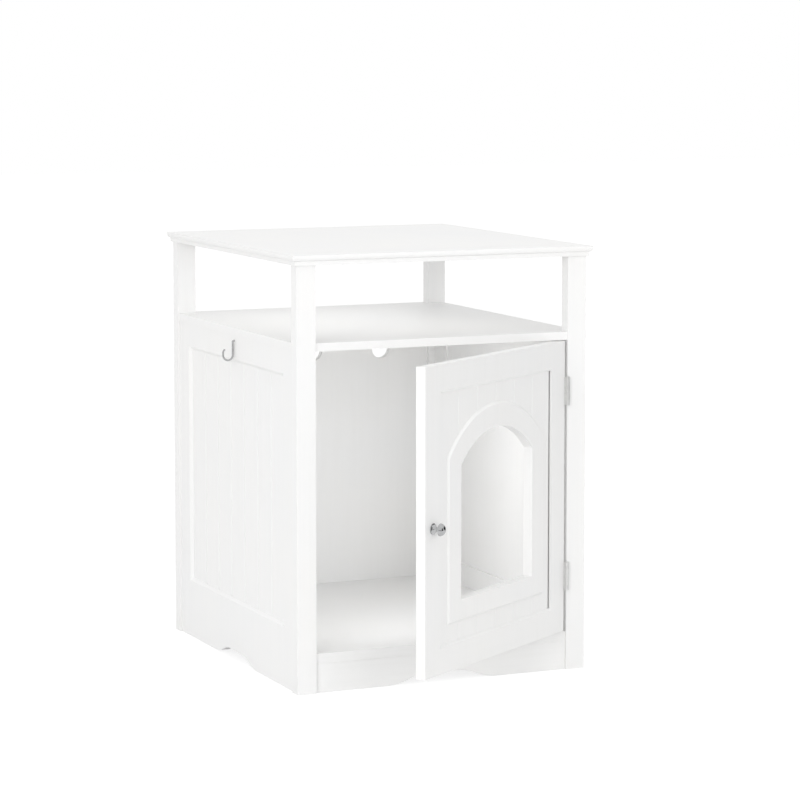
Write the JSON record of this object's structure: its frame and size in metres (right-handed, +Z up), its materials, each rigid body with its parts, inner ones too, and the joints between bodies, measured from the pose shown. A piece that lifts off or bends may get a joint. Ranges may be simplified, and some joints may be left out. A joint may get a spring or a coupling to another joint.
{
  "type": "cat litter box cabinet",
  "caption": "Side-table cabinet with a raised top, an open shelf and a closed compartment that hides a litter tray behind a hinged door with an arched pet entrance.",
  "frame": {"origin": "on the ground, midway between the four posts", "axes": "+X to the right seen from the front, +Y from the door to the back board, +Z up"},
  "size_m": [0.4905, 0.7655, 0.64],
  "materials": {
    "white_painted_board": "smooth white satin paint on fibreboard",
    "polished_nickel": "polished nickel plate",
    "zinc_plated_steel": "bright zinc plate",
    "cast_zinc": "plain die-cast zinc",
    "beech_dowel": "unfinished beech",
    "painted_steel": "painted over with the door's white satin paint"
  },
  "bodies": {
    "cabinet": {"apron_dowels": "beech_dowel", "back_dowels": "beech_dowel", "back_panel": "white_painted_board", "back_screws": "zinc_plated_steel", "cam_bolts": "zinc_plated_steel", "cam_discs": "cast_zinc", "floor_panel": "white_painted_board", "front_apron": "white_painted_board", "hinge_post_screws": "zinc_plated_steel", "latch_magnet": "polished_nickel", "left_bead_panel": "white_painted_board", "left_bottom_rail": "white_painted_board", "left_front_stile": "white_painted_board", "left_rear_stile": "white_painted_board", "left_top_rail": "white_painted_board", "lower_hinge_pin": "polished_nickel", "lower_hinge_post_leaf": "polished_nickel", "post_front_left": "white_painted_board", "post_front_right": "white_painted_board", "post_rear_left": "white_painted_board", "post_rear_right": "white_painted_board", "right_bead_panel": "white_painted_board", "right_bottom_rail": "white_painted_board", "right_front_stile": "white_painted_board", "right_rear_stile": "white_painted_board", "right_top_rail": "white_painted_board", "scoop_hook": "polished_nickel", "shelf_dowels": "beech_dowel", "shelf_panel": "white_painted_board", "side_dowels": "beech_dowel", "top_panel": "white_painted_board", "upper_hinge_pin": "polished_nickel", "upper_hinge_post_leaf": "polished_nickel"},
    "door": {"door_arch_surround": "white_painted_board", "door_bead_panel": "white_painted_board", "door_bottom_rail": "white_painted_board", "door_hinge_stile": "white_painted_board", "door_knob": "polished_nickel", "door_latch_stile": "white_painted_board", "door_top_rail": "white_painted_board", "hinge_door_screws": "zinc_plated_steel", "knob_screw": "zinc_plated_steel", "latch_disc": "painted_steel", "lower_hinge_door_leaf": "polished_nickel", "upper_hinge_door_leaf": "polished_nickel"}
  },
  "joints": [
    {"name": "door_swing", "type": "hinge", "parent": "cabinet", "child": "door", "pos_m": [0.20225, -0.2652, 0.279], "axis": [0, 0, 1], "range_deg": [-34.5, 140.5]}
  ]
}
